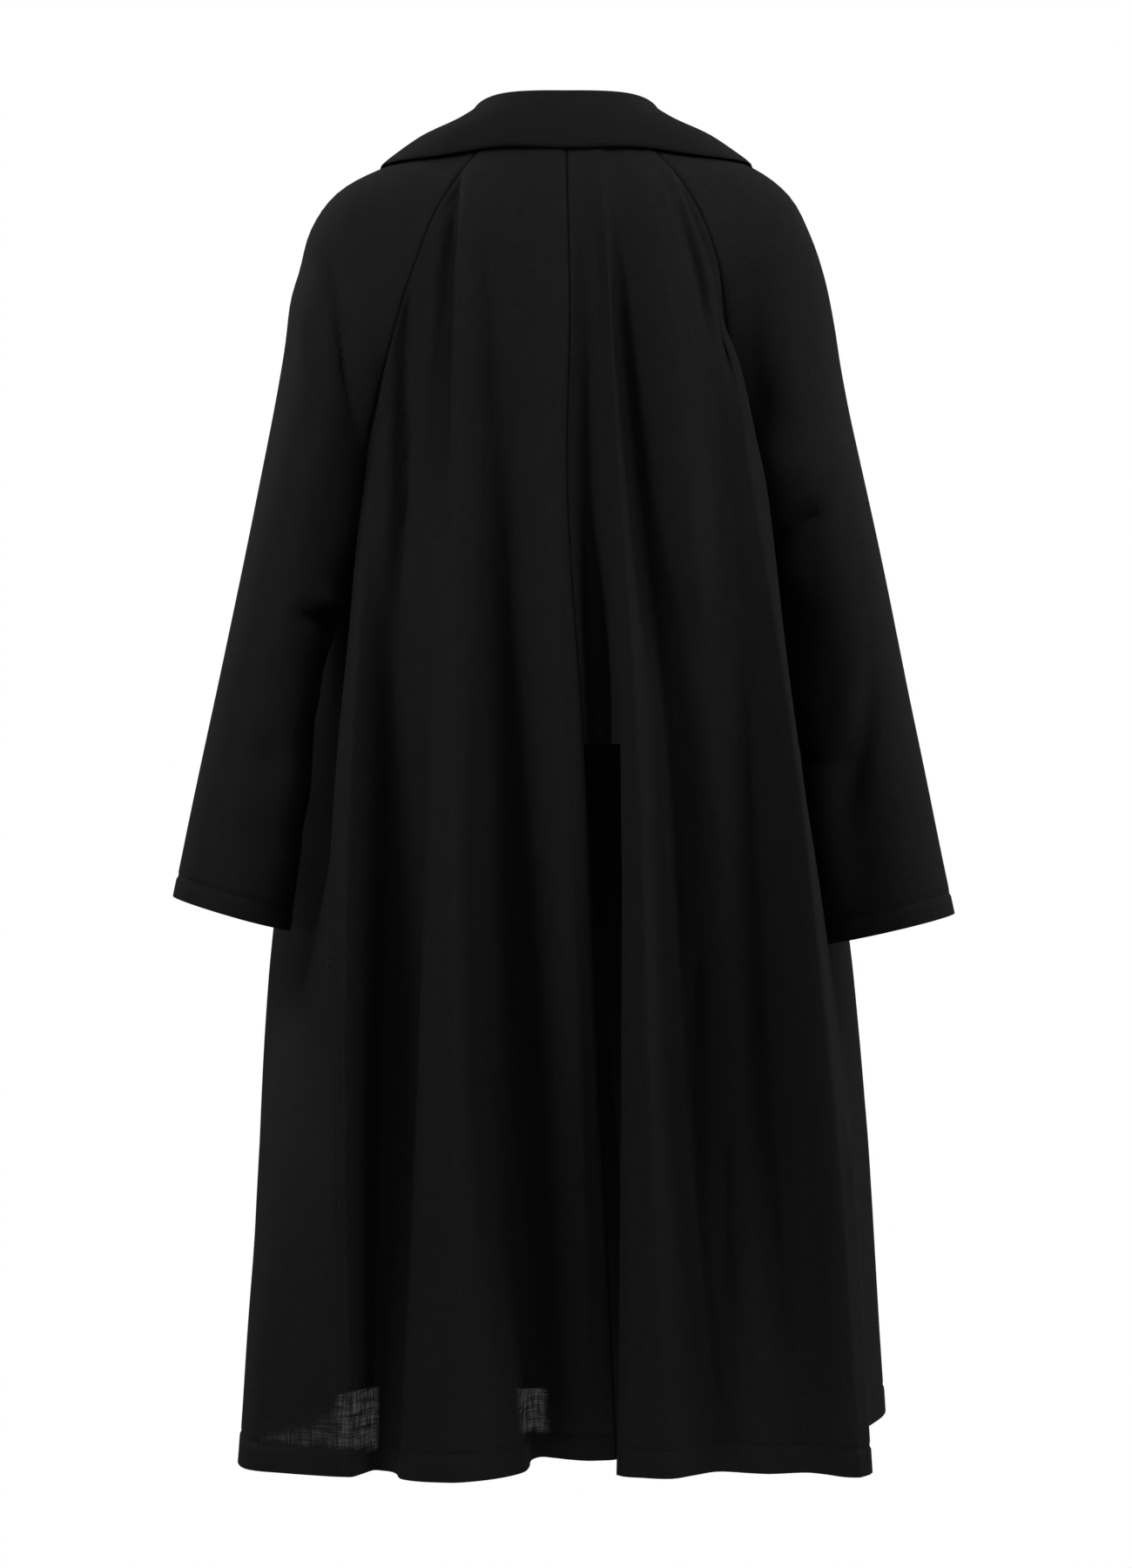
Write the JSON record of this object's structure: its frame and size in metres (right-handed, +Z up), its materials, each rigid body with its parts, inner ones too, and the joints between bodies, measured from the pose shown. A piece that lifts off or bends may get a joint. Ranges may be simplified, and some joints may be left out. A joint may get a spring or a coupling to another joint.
{
  "type": "oversized raglan coat",
  "caption": "Hollow worn form of an oversized black raglan coat with a turned-down collar, fluted back, centre-back vent and wide sleeves.",
  "frame": {"origin": "middle of the neck opening, where the wearer's neck and shoulders carry the coat", "axes": "+Z up from hem to collar, -Y the way the wearer faces, +X the wearer's left"},
  "size_m": [0.627, 0.4322, 1.0815],
  "materials": {
    "cloth": "matte plain-weave wool with a soft sheen"
  },
  "bodies": {
    "root": {"back_left": "cloth", "back_right": "cloth", "front_left": "cloth", "front_right": "cloth", "sleeve_back_left": "cloth", "sleeve_back_right": "cloth", "sleeve_front_left": "cloth", "sleeve_front_right": "cloth", "collar": "cloth"}
  },
  "joints": []
}
